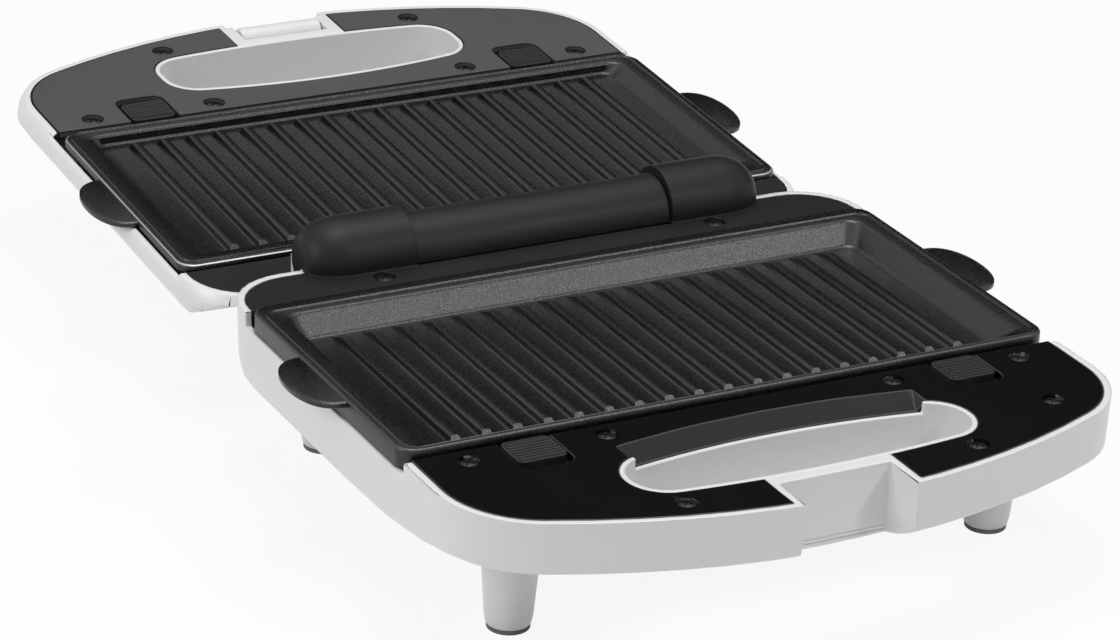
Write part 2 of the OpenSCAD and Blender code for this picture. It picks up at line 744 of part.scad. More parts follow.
module screw(length) {
    difference() {
        union() {
            translate([0, 0, -1.6]) rotate_extrude() polygon([[0, 0], [screw_head_r, 0],
                [screw_head_r, 0.5], [2.4, 1.1], [0, 1.35]]);
            translate([0, 0, -1.6 - length]) cylinder(r = screw_r - 0.01, h = length + 0.5);
        }
        for (a = [45, 135]) translate([0, 0, -0.9]) rotate([0, 0, a])
            box([-1.9, -0.35, 0], [1.9, 0.35, 2]);
    }
}
module lower_screws() {
    color("#2c2a28") in_lower() for (p = concat(screw_spots, [extra_screw], rear_screw_spots))
        translate([p[0], p[1], 0]) screw(10);
}
module lid_screws() {
    color("#2c2a28") in_lid() {
        for (p = screw_spots) translate([p[0], p[1], 0]) screw(10);
        for (p = rear_screw_spots) translate([p[0], p[1], 0]) screw(short_screw);
    }
}

module foot_pad(sx, y) {
    color("gray") in_lower() translate([sx * foot_x, y, -deck_h]) cylinder(r = pad_r, h = pad_t);
}
module foot_pad_front_left() { foot_pad(-1, front_foot_y); }
module foot_pad_front_right() { foot_pad(1, front_foot_y); }
module foot_pad_rear_left() { foot_pad(-1, rear_foot_y); }
module foot_pad_rear_right() { foot_pad(1, rear_foot_y); }

lamp_r = 3.2;
lamp_spots = [[74, -176], [88, -172]];
module lamp_lens(p) {
    translate([p[0], p[1], -lamp_bottom]) union() {
        cylinder(r = lamp_r, h = 10);
        translate([0, 0, 7]) cylinder(r = lamp_r + 1.2, h = 1.6);
    }
}
lamp_bottom = 27;
module lamp_lens_red() { color("red") in_lid() lamp_lens(lamp_spots[0]); }
module lamp_lens_green() { color("green") in_lid() lamp_lens(lamp_spots[1]); }

lower_shell();
lower_grip_lining();
lower_legs();
lower_front_frame();
lower_rear_frame();
lower_plate();
lower_heater();
lower_reflector();
lower_heater_saddles();
thermostat();
thermal_fuse();
terminal_block();
cord_gland();
hinge_pin_left();
hinge_pin_right();
wire_sleeve();
lower_screws();
foot_pad_front_left();
foot_pad_front_right();
foot_pad_rear_left();
foot_pad_rear_right();
lower_catch_left();
lower_catch_right();
lower_catch_spring_left();
lower_catch_spring_right();
lid_shell();
lid_grip_lining();
lid_front_frame();
lid_rear_frame();
lid_plate();
lid_heater();
lid_reflector();
lid_heater_saddles();
lid_screws();
lid_catch_left();
lid_catch_right();
lid_catch_spring_left();
lid_catch_spring_right();
lid_clip();
clip_pin();
lamp_lens_red();
lamp_lens_green();
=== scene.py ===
import json
import math

import bmesh
import bpy
from mathutils import Matrix, Vector

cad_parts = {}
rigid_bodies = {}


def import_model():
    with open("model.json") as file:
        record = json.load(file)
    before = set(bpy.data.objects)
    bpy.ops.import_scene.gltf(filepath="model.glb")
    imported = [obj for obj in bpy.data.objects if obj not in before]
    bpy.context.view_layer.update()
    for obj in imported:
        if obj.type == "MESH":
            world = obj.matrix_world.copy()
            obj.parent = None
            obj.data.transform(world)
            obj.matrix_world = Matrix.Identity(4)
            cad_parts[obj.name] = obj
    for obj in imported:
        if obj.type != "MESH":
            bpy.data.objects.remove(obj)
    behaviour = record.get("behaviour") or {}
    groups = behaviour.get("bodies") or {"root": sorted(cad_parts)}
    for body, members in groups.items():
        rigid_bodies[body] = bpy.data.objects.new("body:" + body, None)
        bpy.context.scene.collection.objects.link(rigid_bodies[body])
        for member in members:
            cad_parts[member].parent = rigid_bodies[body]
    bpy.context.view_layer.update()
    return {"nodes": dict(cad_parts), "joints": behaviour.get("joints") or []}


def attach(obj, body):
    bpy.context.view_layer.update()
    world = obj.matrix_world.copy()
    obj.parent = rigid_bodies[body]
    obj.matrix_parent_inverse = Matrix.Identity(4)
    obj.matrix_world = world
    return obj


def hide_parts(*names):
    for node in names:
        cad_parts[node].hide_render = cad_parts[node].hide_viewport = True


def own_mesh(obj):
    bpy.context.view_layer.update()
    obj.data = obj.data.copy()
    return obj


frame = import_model()

# ---- White shells ----
# The two outer shells and the linings of their finger openings are moulded in white plastic with
# a light sheen and softly rounded edges. The lower one stands on four tapered legs; the lid's is
# a shallow dome with a dark-lined recess round each hinge boss.


class Paint:
    """One value in a material's nodes. Sums written on it add the Math nodes for them."""

    def __init__(self, tree, output=None):
        self.tree = tree
        self.output = output

    def node(self, kind, settings=None, sockets=None, pick=0):
        made = self.tree.nodes.new("ShaderNode" + kind)
        for name, value in (settings or {}).items():
            if name == "stops":
                stops = made.color_ramp.elements
                for place, (position, shade) in enumerate(value):
                    stop = stops[place] if place < 2 else stops.new(position)
                    stop.position = position
                    stop.color = (*shade, 1)
            else:
                setattr(made, name, value)
        for name, value in (sockets or {}).items():
            socket = made.inputs[name]
            if isinstance(value, Paint):
                self.tree.links.new(value.output, socket)
            elif isinstance(value, tuple) and socket.type == "RGBA":
                socket.default_value = (*value, 1)
            else:
                socket.default_value = value
        return Paint(self.tree, made.outputs[pick])

    def noise(self, scale, detail=2.0, stretch=(1, 1, 1), rough=0.5):
        place = self.node("TexCoord", pick="Object")
        spread = self.node("Mapping", sockets={"Vector": place, "Scale": stretch})
        return self.node("TexNoise", sockets={"Vector": spread, "Scale": scale, "Detail": detail,
                                              "Roughness": rough})

    def ramp(self, *stops):
        return self.node("ValToRGB", {"stops": stops}, {0: self})

    def blend(self, first, second):
        return self.node("Mix", {"data_type": "RGBA"}, {0: self, 6: first, 7: second}, pick=2)

    def bump(self, strength, depth):
        return self.node("Bump", sockets={"Strength": strength, "Distance": depth, "Height": self})

    def feed(self, name):
        self.tree.links.new(self.output, self.tree.nodes["Principled BSDF"].inputs[name])

    def sum(self, operation, first, second=0.0):
        return self.node("Math", {"operation": operation}, {0: first, 1: second})

    def __add__(self, other):
        return self.sum("ADD", self, other)

    def __mul__(self, other):
        return self.sum("MULTIPLY", self, other)

    def __sub__(self, other):
        return self.sum("SUBTRACT", self, other)

    def __rsub__(self, other):
        return self.sum("SUBTRACT", other, self)

    __radd__ = __add__
    __rmul__ = __mul__


def finish_named(name, **plain):
    made = bpy.data.materials.new(name)
    made.use_nodes = True
    shader = made.node_tree.nodes["Principled BSDF"]
    for socket, value in plain.items():
        shader.inputs[socket.replace("_", " ")].default_value = value
    return made, Paint(made.node_tree)


def body_of(node):
    return frame["nodes"][node].parent.name.removeprefix("body:")


def middle_of(node):
    source = frame["nodes"][node]
    places = [source.matrix_world @ corner.co for corner in source.data.vertices]
    return sum(places, Vector()) / len(places)


def piece_from(mesh, name, finish, body, nodes=()):
    """An object for this mesh, which is already in the row frame, riding on that body."""
    piece = bpy.data.objects.new(name, mesh)
    bpy.context.scene.collection.objects.link(piece)
    if not mesh.materials:
        mesh.materials.append(finish)
    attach(piece, body)
    if nodes:
        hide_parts(*nodes)
    return piece


def rounded_copy(node, width, finish, edge=None, least=42, triangles=False, spared=(),
                 reach=0.006):
    """A merged copy of a CAD node with softly rounded edges, which can take a colour of their own:
    painted highlight on the lower frame's edges, painted shade on the lid frame's.

    Edges steeper than `least` degrees are rounded, but for those within `reach` of a spared point.
    """
    source = frame["nodes"][node]
    mesh = source.data.copy()
    mesh.transform(source.matrix_world)
    form = bmesh.new()
    form.from_mesh(mesh)
    bmesh.ops.remove_doubles(form, verts=form.verts, dist=3e-6)
    bmesh.ops.dissolve_limit(form, angle_limit=math.radians(1), verts=form.verts, edges=form.edges)
    bmesh.ops.recalc_face_normals(form, faces=form.faces)
    if triangles:
        bmesh.ops.triangulate(form, faces=form.faces)
    rounding = form.edges.layers.float.new("bevel_weight_edge")
    for seam in form.edges:
        middle = (seam.verts[0].co + seam.verts[1].co) / 2
        if seam.is_manifold and seam.calc_face_angle() > math.radians(least):
            seam[rounding] = float(all((middle - spot).length > reach for spot in spared))
    form.to_mesh(mesh)
    form.free()
    mesh.materials.clear()
    mesh.materials.append(finish)
    if edge:
        mesh.materials.append(edge)
    mesh.shade_smooth()
    mesh = evaluated(mesh, "BEVEL", width=width, segments=2, limit_method="WEIGHT",
                     material=1 if edge else -1, use_clamp_overlap=False, miter_outer="MITER_ARC")
    mesh.set_sharp_from_angle(angle=math.radians(38))
    mesh = evaluated(mesh, "WEIGHTED_NORMAL", keep_sharp=True, weight=80)
    return piece_from(mesh, node + "_piece", finish, body_of(node), [node])


def evaluated(mesh, kind, inputs=None, **settings):
    """The mesh that comes out of one modifier on this one."""
    carrier = bpy.data.objects.new("carrier", mesh)
    bpy.context.scene.collection.objects.link(carrier)
    modifier = carrier.modifiers.new("made", kind)
    for name, value in settings.items():
        setattr(modifier, name, value)
    for item in (modifier.node_group.interface.items_tree if inputs else ()):
        if item.name in inputs:
            modifier[item.identifier] = inputs[item.name]
    made = bpy.data.meshes.new_from_object(
        carrier.evaluated_get(bpy.context.evaluated_depsgraph_get()))
    bpy.data.objects.remove(carrier)
    return made


white_moulding, paint = finish_named("white_moulding", Roughness=0.34, IOR=1.48)
cloud = paint.noise(9, 3)
cloud.blend((0.77, 0.775, 0.775), (0.83, 0.83, 0.825)).feed("Base Color")
(cloud * 0.08 + 0.30).feed("Roughness")
(paint.noise(1400, 2) * 0.6 + paint.noise(60, 2) * 0.6).bump(0.1, 0.0002).feed("Normal")

rounded_copy("lower_shell", 0.0005, white_moulding, triangles=True,
             spared=[middle_of("cord_gland")])
rounded_copy("lower_grip_lining", 0.0005, white_moulding)
rounded_copy("lower_legs", 0.0006, white_moulding)
rounded_copy("lid_grip_lining", 0.0005, white_moulding)
rounded_copy("lid_shell", 0.0005, white_moulding, triangles=True,
             spared=[middle_of("lamp_lens_red"), middle_of("lamp_lens_green")], reach=0.016)

# ---- Black decks ----
# Two black frames are screwed down on the shells, one round each finger opening. The lower one
# is polished and has a scooped lip; the lid's has the same tooling with a duller face. The two
# rear frames hold the hinge between them, with domed bosses on the lower one.
polished_black, paint = finish_named("polished_black", IOR=1.45, Specular_IOR_Level=0.3)
cloud = paint.noise(14, 3)
cloud.blend((0.005, 0.0049, 0.0053), (0.009, 0.0087, 0.009)).feed("Base Color")
(cloud * 0.06 + 0.13).feed("Roughness")
(paint.noise(900, 2) * 0.3 + paint.noise(45, 2)).bump(0.04, 0.0004).feed("Normal")

satin_black, paint = finish_named("satin_black", IOR=1.5, Specular_IOR_Level=0.45)
cloud = paint.noise(22, 3)
cloud.blend((0.070, 0.067, 0.064), (0.088, 0.084, 0.080)).feed("Base Color")
(cloud * 0.1 + 0.36).feed("Roughness")
paint.noise(1600, 3).bump(0.12, 0.0002).feed("Normal")

hinge_black, paint = finish_named("hinge_black", IOR=1.5, Specular_IOR_Level=0.2)
cloud = paint.noise(22, 3)
cloud.blend((0.008, 0.0075, 0.007), (0.013, 0.012, 0.0115)).feed("Base Color")
(cloud * 0.1 + 0.42).feed("Roughness")
paint.noise(1600, 3).bump(0.1, 0.0002).feed("Normal")

# The rounded edges of the lower frame take a lighter purple-grey colour than its face: a painted
# highlight along each rounded edge.
edge_sheen, paint = finish_named("edge_sheen", IOR=1.5, Specular_IOR_Level=0.4)
paint.noise(30, 2).blend((0.022, 0.020, 0.026), (0.030, 0.027, 0.035)).feed("Base Color")
(paint.noise(60, 2) * 0.1 + 0.3).feed("Roughness")
edge_shadow, paint = finish_named("edge_shadow", IOR=1.5, Specular_IOR_Level=0.15)
paint.noise(30, 2).blend((0.003, 0.003, 0.003), (0.006, 0.006, 0.006)).feed("Base Color")
(paint.noise(60, 2) * 0.1 + 0.5).feed("Roughness")

hinge_place = Vector(next(j for j in frame["joints"] if j["name"] == "lid_hinge")["pos_m"])
in_lower = Matrix.Translation(hinge_place) @ Matrix.Diagonal((0.001, 0.001, 0.001, 1))
front_row = [(-99, -155), (99, -155), (-51.5, -154.5), (51.5, -154.5), (-51.3, -205), (51.3, -205)]
lower_front_row = [*front_row, (91, -186.8)]
rounded_copy("lower_front_frame", 0.00035, polished_black, edge_sheen, least=18,
             spared=[in_lower @ Vector((x, y, 0)) for x, y in lower_front_row])
rounded_copy("lid_front_frame", 0.0004, satin_black, edge_shadow)
rounded_copy("lower_rear_frame", 0.0004, hinge_black)
rounded_copy("lid_rear_frame", 0.0004, hinge_black)

# ---- Ribbed plates ----
# The die-cast plates are sprayed with a fine-grained black non-stick coating. Each is one
# continuous pressing: skirt, rounded rim with a fine bead, sloping walls and a flat floor. Row
# after row of the same rounded rib with ramped ends stands on the floor.
plate_coating, paint = finish_named("plate_coating", IOR=1.5, Specular_IOR_Level=0.55)
grain = paint.noise(1500, 3, rough=0.7)
cloud = paint.noise(25, 3)
(grain * 0.8 + cloud * 0.2).ramp((0.48, (0.001, 0.001, 0.001)),
                                 (0.68, (0.018, 0.0175, 0.017))).feed("Base Color")
(grain * 0.12 + 0.22).feed("Roughness")
grain.bump(0.6, 0.00018).feed("Normal")

# The rounded outer edge of each plate rim gets a lighter metallic colour: a painted highlight, dim on
# the lower plate and bright on the lid's.
painted_rim_highlights = []
for name, shades in (("dull_rim", ((0.06, 0.059, 0.056), (0.09, 0.089, 0.085))),
                     ("bare_rim", ((0.34, 0.335, 0.32), (0.44, 0.435, 0.42)))):
    rim_highlight, paint = finish_named(name, Metallic=0.8)
    paint.noise(120, 2).blend(*shades).feed("Base Color")
    (paint.noise(300, 2) * 0.2 + 0.35).feed("Roughness")
    painted_rim_highlights.append(rim_highlight)

in_lid = (Matrix.Translation(hinge_place) @ Matrix.Rotation(math.radians(3.2), 4, "X")
          @ Matrix.Translation((0, 0, -0.010)) @ Matrix.Diagonal((0.001, -0.001, 0.001, 1)))


def corner_ring(half, near, far, z, radius, count=7):
    """A rounded rectangle as a ring of points, symmetrical about x = 0."""
    ring = []
    for x, y, start in ((half - radius, far - radius, 90), (half - radius, near + radius, 0),
                        (-half + radius, near + radius, -90), (-half + radius, far - radius, -180)):
        for step in range(count):
            turn = math.radians(start - 90 * step / (count - 1))
            ring.append((x + radius * math.cos(turn), y + radius * math.sin(turn), z))
    return ring


def lofted(rings, into, bright=None):
    """A mesh through rings of equal length, with both ends filled."""
    form = bmesh.new()
    rows = [[form.verts.new(into @ Vector(point)) for point in ring] for ring in rings]
    for step, (low, high) in enumerate(zip(rows, rows[1:])):
        for here in range(len(low)):
            there = (here + 1) % len(low)
            face = form.faces.new((low[here], low[there], high[there], high[here]))
            face.material_index = 1 if step == bright else 0
    form.faces.new(rows[0])
    form.faces.new(rows[-1])
    bmesh.ops.recalc_face_normals(form, faces=form.faces)
    mesh = bpy.data.meshes.new("lofted")
    form.to_mesh(mesh)
    form.free()
    mesh.shade_smooth()
    return mesh


def joined(*meshes):
    form = bmesh.new()
    for mesh in meshes:
        form.from_mesh(mesh)
    whole = bpy.data.meshes.new("joined")
    form.to_mesh(whole)
    form.free()
    return whole


def block(low, high, into):
    return lofted([[(low[0], low[1], z), (high[0], low[1], z), (high[0], high[1], z),
                    (low[0], high[1], z)] for z in (low[2], high[2])], into)


def node_group(name, kinds, result):
    """A Geometry Nodes group with these named inputs and one geometry output."""
    group = bpy.data.node_groups.new(name, "GeometryNodeTree")
    for title, kind in kinds.items():
        group.interface.new_socket(title, in_out="INPUT", socket_type="NodeSocket" + kind)
    group.interface.new_socket(result, in_out="OUTPUT", socket_type="NodeSocketGeometry")
    given = group.nodes.new("NodeGroupInput")
    solid = group.nodes.new("GeometryNodeRealizeInstances")
    dressed = group.nodes.new("GeometryNodeSetMaterial")
    last = group.nodes.new("NodeGroupOutput")
    group.links.new(solid.outputs[0], dressed.inputs["Geometry"])
    group.links.new(given.outputs["Finish"], dressed.inputs["Material"])
    group.links.new(dressed.outputs[0], last.inputs[result])
    return group, given, solid


def row_of_pieces():
    """A node group that sets a copy of the piece on every vertex of the mesh it is given."""
    group, given, solid = node_group(
        "row_of_pieces", {"Places": "Geometry", "Piece": "Object", "Finish": "Material"}, "Row")
    piece = group.nodes.new("GeometryNodeObjectInfo")
    spread = group.nodes.new("GeometryNodeInstanceOnPoints")
    for source, target in ((given.outputs["Places"], spread.inputs["Points"]),
                           (given.outputs["Piece"], piece.inputs["Object"]),
                           (piece.outputs["Geometry"], spread.inputs["Instance"]),
                           (spread.outputs[0], solid.inputs[0])):
        group.links.new(source, target)
    return group


def cut_from(mesh, cutter, **settings):
    """The mesh without the room that the cutter takes up."""
    carrier = bpy.data.objects.new("cutter", cutter)
    bpy.context.scene.collection.objects.link(carrier)
    made = evaluated(mesh, "BOOLEAN", operation="DIFFERENCE", solver="EXACT", object=carrier,
                     **settings)
    bpy.data.objects.remove(carrier)
    return made


row_nodes = row_of_pieces()


def placed(template, spots, finish):
    """The template's mesh at each spot, as one mesh."""
    model = bpy.data.objects.new("model", template)
    bpy.context.scene.collection.objects.link(model)
    places = bpy.data.meshes.new("places")
    places.from_pydata([tuple(spot) for spot in spots], [], [])
    made = evaluated(places, "NODES", {"Piece": model, "Finish": finish}, node_group=row_nodes)
    bpy.data.objects.remove(model)
    made.materials.clear()
    made.materials.append(finish)
    made.polygons.foreach_set("material_index", [0] * len(made.polygons))
    return made


catch_x = 77.2
plate_half, plate_rear, rim = 116.5, -28, 1.5
tab_y, tab_half_width, tab_reach, arc_steps = -86, 18.5, 14, 24
rib_count, rib_pitch, front_ramp = 18, 10.75, 0.7
rib_side = [(-2.6, -0.3), (-2.4, 0.05), (-2.1, 0.35), (-1.9, 0.8), (-1.65, 1.8), (-1.42, 2.3),
            (-1.0, 2.6), (-0.5, 2.7)]
rib_section = rib_side + [(-x, z) for x, z in reversed(rib_side)]


def side_tab(side, into):
    """A half-round grip tab with rounded edges on one side of a plate."""
    levels = []
    for z, shrink in ((-1.3, 0.9), (-1.15, 0.3), (-0.9, 0), (0.4, 0), (0.75, 0.3), (0.9, 0.9)):
        level = []
        for step in range(arc_steps + 1):
            turn = math.pi * step / arc_steps
            level.append((side * (114.5 - 0.5 * shrink + (tab_reach - shrink) * math.sin(turn) ** 0.65),
                          tab_y + (tab_half_width - shrink) * math.cos(turn), z))
        levels.append(level)
    return lofted(levels, into)


def plate(into, rim_highlight, front, drop, depth, front_flange, rear_flange, front_slope, rear_slope,
          bead_inset, rib_inset, rear_ramp):
    """A whole plate in the half's own millimetres, with its rim at the level of the deck."""
    near, far, floor = -front, plate_rear, rim - depth
    front_foot, rear_foot = front_flange + front_slope, rear_flange + rear_slope

    def ring(inset, low, high, z, radius):
        return corner_ring(plate_half - inset, near + low, far - high, z, radius)

    rings = [ring(8, 4.2, 8, floor - 2.6, 5.5), ring(8, 4.2, 8, -1.6, 5.5),
             ring(4, 2.4, 2.4, -1.6, 5), ring(4, 2.4, 2.4, -6, 5), ring(2.4, 0.4, 0.4, -6, 6),
             ring(2.4, 0.4, 0.4, -drop, 6), ring(0, 0, 0, -drop, 6), ring(0, 0, 0, rim - 0.7, 6),
             ring(0.2, 0.2, 0.2, rim - 0.25, 6), ring(0.7, 0.5, 0.7, rim, 6),
             ring(2.2, 0.6, bead_inset, rim, 5.2),
             ring(2.4, 0.75, bead_inset + 0.25, rim + 0.5, 5),
             ring(2.7, 1.0, bead_inset + 0.5, rim + 0.6, 4.8),
             ring(3.1, 1.25, bead_inset + 0.8, rim + 0.5, 4.5),
             ring(3.4, 1.5, bead_inset + 1.1, rim, 4.2),
             ring(7.4, front_flange - 0.1, rear_flange - 0.6, rim, 5.4),
             ring(8.1, front_flange + 0.3, rear_flange + 0.1, rim - 0.25, 5),
             ring(8.7, front_flange + 0.8, rear_flange + 0.6, rim - 0.9, 4.8),
             ring(11.2, front_foot - 0.9, rear_foot - 0.6, floor + 0.9, 4.4),
             ring(11.9, front_foot - 0.3, rear_foot - 0.1, floor + 0.25, 4.2),
             ring(12.8, front_foot + 0.6, rear_foot + 0.6, floor, 4)]
    # Ring step 8, the rounding of the outer rim edge, takes the rim material: a painted highlight.
    body = lofted(rings, into, bright=8)
    slots = [block((side * catch_x - 6, near - 1, -5.6), (side * catch_x + 6, near + 3.6, -3), into)
             for side in (-1, 1)]
    body = cut_from(body, joined(*slots))
    start, end = near + rib_inset, far - rear_foot - 1
    rib = lofted([[(x, start + front_ramp * z, z) for x, z in rib_section],
                  [(x, end - rear_ramp * z, z) for x, z in rib_section]], into.to_3x3().to_4x4())
    middle = (rib_count - 1) / 2
    ribs = placed(rib, [into @ Vector(((step - middle) * rib_pitch, 0, floor))
                        for step in range(rib_count)], plate_coating)
    whole = joined(body, side_tab(-1, into), side_tab(1, into), ribs)
    whole.set_sharp_from_angle(angle=math.radians(40))
    whole.materials.append(plate_coating)
    whole.materials.append(rim_highlight)
    return whole


lower_plate = plate(in_lower, painted_rim_highlights[0], front=145, drop=5.2, depth=8, front_flange=1.8, rear_flange=9.5,
                    front_slope=10, rear_slope=4.5, bead_inset=5, rib_inset=13.3, rear_ramp=2.8)
piece_from(lower_plate, "lower_plate_piece", plate_coating, "lower_half",
           ["lower_plate"])
lid_plate = plate(in_lid, painted_rim_highlights[1], front=142.5, drop=1.2, depth=4.5, front_flange=4.6, rear_flange=8,
                  front_slope=1.2, rear_slope=3, bead_inset=2.5, rib_inset=9.1, rear_ramp=1)
piece_from(lid_plate, "lid_plate_piece", plate_coating, "lid", ["lid_plate"])

# ---- Catches and their springs ----
# Each plate is held by two sliding catches with a row of fine ridges across the button. A small
# coil spring under the deck pushes each one home.
catch_plastic, paint = finish_named("catch_plastic", IOR=1.5, Specular_IOR_Level=0.28)
paint.noise(40, 2).blend((0.009, 0.0115, 0.012), (0.014, 0.0175, 0.018)).feed("Base Color")
(paint.noise(60, 2) * 0.1 + 0.4).feed("Roughness")
plain_steel, paint = finish_named("plain_steel", Metallic=1.0)
paint.noise(200, 2).blend((0.42, 0.42, 0.41), (0.55, 0.55, 0.54)).feed("Base Color")
(paint.noise(300, 2) * 0.2 + 0.25).feed("Roughness")


def wound_spring():
    """A node group that winds a round wire into a spring standing on the origin along Z."""
    group, given, solid = node_group(
        "wound_spring", {"Mesh": "Geometry", "Turns": "Float", "Radius": "Float", "Height": "Float",
                         "Wire": "Float", "Finish": "Material"}, "Spring")
    path = group.nodes.new("GeometryNodeCurveSpiral")
    path.inputs["Resolution"].default_value = 14
    section = group.nodes.new("GeometryNodeCurvePrimitiveCircle")
    section.inputs["Resolution"].default_value = 8
    wire = group.nodes.new("GeometryNodeCurveToMesh")
    wire.inputs["Fill Caps"].default_value = True
    for source, target in ((given.outputs["Turns"], path.inputs["Rotations"]),
                           (given.outputs["Radius"], path.inputs["Start Radius"]),
                           (given.outputs["Radius"], path.inputs["End Radius"]),
                           (given.outputs["Height"], path.inputs["Height"]),
                           (given.outputs["Wire"], section.inputs["Radius"]),
                           (path.outputs[0], wire.inputs["Curve"]),
                           (section.outputs[0], wire.inputs["Profile Curve"]),
                           (wire.outputs[0], solid.inputs[0])):
        group.links.new(source, target)
    return group


spring_nodes = wound_spring()
ridge_count, ridge_pitch, ridge_start = 7, 1.7, -161.2
spring_z, spring_turns = -4.2, 6.0
for half, into, body in (("lower", in_lower, "lower_half"), ("lid", in_lid, "lid")):
    turned = into.to_3x3().to_4x4()
    bow = [math.radians(step) for step in range(-30, 211, 30)]
    ridge = lofted([[(x, 0.4 * math.cos(a), 0.15 + 0.5 * math.sin(a)) for a in bow]
                    for x in (-7.6, 7.6)], turned)
    for side, name in ((-1, "left"), (1, "right")):
        node = f"{half}_catch_{name}"
        rounded_copy(node, 0.0003, catch_plastic)
        rows = placed(ridge, [into @ Vector((side * catch_x, ridge_start + ridge_pitch * step, 0.1))
                              for step in range(ridge_count)], catch_plastic)
        rows.set_sharp_from_angle(angle=math.radians(50))
        piece_from(rows, node + "_ridges", catch_plastic, body_of(node))
        spring = evaluated(bpy.data.meshes.new("blank"), "NODES",
                           {"Turns": spring_turns, "Radius": 0.00145, "Height": 0.0041, "Wire": 0.00022,
                            "Finish": plain_steel}, node_group=spring_nodes)
        spring.transform(into @ Matrix.Translation((side * catch_x, -167.55, spring_z))
                         @ Matrix.Rotation(math.radians(-90), 4, "X") @ Matrix.Scale(1000, 4))
        coil = piece_from(spring, node + "_coil", plain_steel, body,
                          [f"{half}_catch_spring_{name}"])
        node + "_slide"
        turned @ Vector((0, 1, 0))
        into @ Vector((side * catch_x, -167.8, spring_z))
        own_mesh(coil)

# ---- Screws ----
# Countersunk screws with a cross recess, blackened, sit below the surface of the frames.
blackened_steel, paint = finish_named("blackened_steel", Metallic=0.8)
paint.noise(300, 2).blend((0.022, 0.0215, 0.0205), (0.042, 0.041, 0.039)).feed("Base Color")
(paint.noise(400, 2) * 0.2 + 0.3).feed("Roughness")
around = [math.radians(10 * step) for step in range(36)]


def row_of_screws(into, length, spots):
    turned = into.to_3x3().to_4x4()
    screw = lofted([[(radius * math.cos(a), radius * math.sin(a), z) for a in around]
                    for radius, z in ((1.35, -length), (1.49, 0.4 - length), (1.49, -1.6),
                                      (3.1, -1.6), (3.2, -1.5), (3.2, -1.2), (3.05, -1.0),
                                      (2.3, -0.55), (1.2, -0.3), (0.4, -0.25))], turned)
    bars = [block((-2.0, -0.38, -0.85), (2.0, 0.38, 1),
                  turned @ Matrix.Rotation(math.radians(angle), 4, "Z")) for angle in (45, 135)]
    screw = cut_from(screw, joined(*bars), use_self=True)
    return placed(screw, [into @ Vector((x, y, 0)) for x, y in spots], blackened_steel)


rear_row = [(-63, -17.9), (63, -17.9)]
long_screw, short_screw = 11.6, 7.2
for half, into, front_spots, rear_length in (("lower", in_lower, lower_front_row, long_screw),
                                             ("lid", in_lid, front_row, short_screw)):
    rows = joined(row_of_screws(into, long_screw, front_spots),
                  row_of_screws(into, rear_length, rear_row))
    rows.set_sharp_from_angle(angle=math.radians(40))
    node = half + "_screws"
    piece_from(rows, half + "_screw_heads", blackened_steel, body_of(node), [node])

# ---- Closing clip and feet ----
# The clip is a light grey bar with a tongue that swings on a steel pin. Grey rubber pads are
# pressed under the legs.
clip_plastic, paint = finish_named("clip_plastic", IOR=1.5)
paint.noise(40, 2).blend((0.72, 0.73, 0.73), (0.80, 0.81, 0.81)).feed("Base Color")
(paint.noise(60, 2) * 0.1 + 0.35).feed("Roughness")
rounded_copy("lid_clip", 0.0007, clip_plastic)

pad_rubber, paint = finish_named("pad_rubber", Specular_IOR_Level=0.3)
paint.noise(90, 3).blend((0.13, 0.135, 0.13), (0.18, 0.185, 0.175)).feed("Base Color")
(paint.noise(200, 2) * 0.1 + 0.7).feed("Roughness")
for end in ("front_left", "front_right", "rear_left", "rear_right"):
    rounded_copy("foot_pad_" + end, 0.0003, pad_rubber)

# ---- Working parts ----
# Pins, elements, trays, saddles, thermostat, fuse and wiring parts are plain bought or pressed
# parts that keep their own shapes.


def dress(finish, *nodes):
    for name in nodes:
        node = frame["nodes"][name]
        node.data.materials.clear()
        node.data.materials.append(finish)


dress(plain_steel, "hinge_pin_left", "hinge_pin_right", "clip_pin", "lower_heater_saddles",
      "lid_heater_saddles")
for name, shades, rough, nodes in (
        ("heater_steel", ((0.16, 0.155, 0.15), (0.26, 0.25, 0.24)), 0.45,
         ("lower_heater", "lid_heater")),
        ("tray_aluminium", ((0.62, 0.62, 0.62), (0.74, 0.74, 0.74)), 0.25,
         ("lower_reflector", "lid_reflector")),
        ("fuse_brass", ((0.55, 0.42, 0.2), (0.7, 0.55, 0.28)), 0.3, ("thermal_fuse",))):
    metal, paint = finish_named(name, Metallic=1.0)
    paint.noise(220, 2).blend(*shades).feed("Base Color")
    (paint.noise(300, 2, stretch=(1, 20, 1)) * 0.15 + rough).feed("Roughness")
    dress(metal, *nodes)
for name, shades, rough, nodes in (
        ("gland_rubber", ((0.02, 0.02, 0.02), (0.035, 0.035, 0.034)), 0.65, ("cord_gland",)),
        ("sleeve_rubber", ((0.3, 0.05, 0.035), (0.38, 0.065, 0.045)), 0.6, ("wire_sleeve",)),
        ("thermostat_ceramic", ((0.68, 0.64, 0.55), (0.77, 0.72, 0.63)), 0.4, ("thermostat",)),
        ("terminal_plastic", ((0.78, 0.76, 0.68), (0.85, 0.83, 0.75)), 0.45, ("terminal_block",))):
    plastic, paint = finish_named(name, IOR=1.5)
    paint.noise(90, 3).blend(*shades).feed("Base Color")
    (paint.noise(200, 2) * 0.1 + rough).feed("Roughness")
    dress(plastic, *nodes)

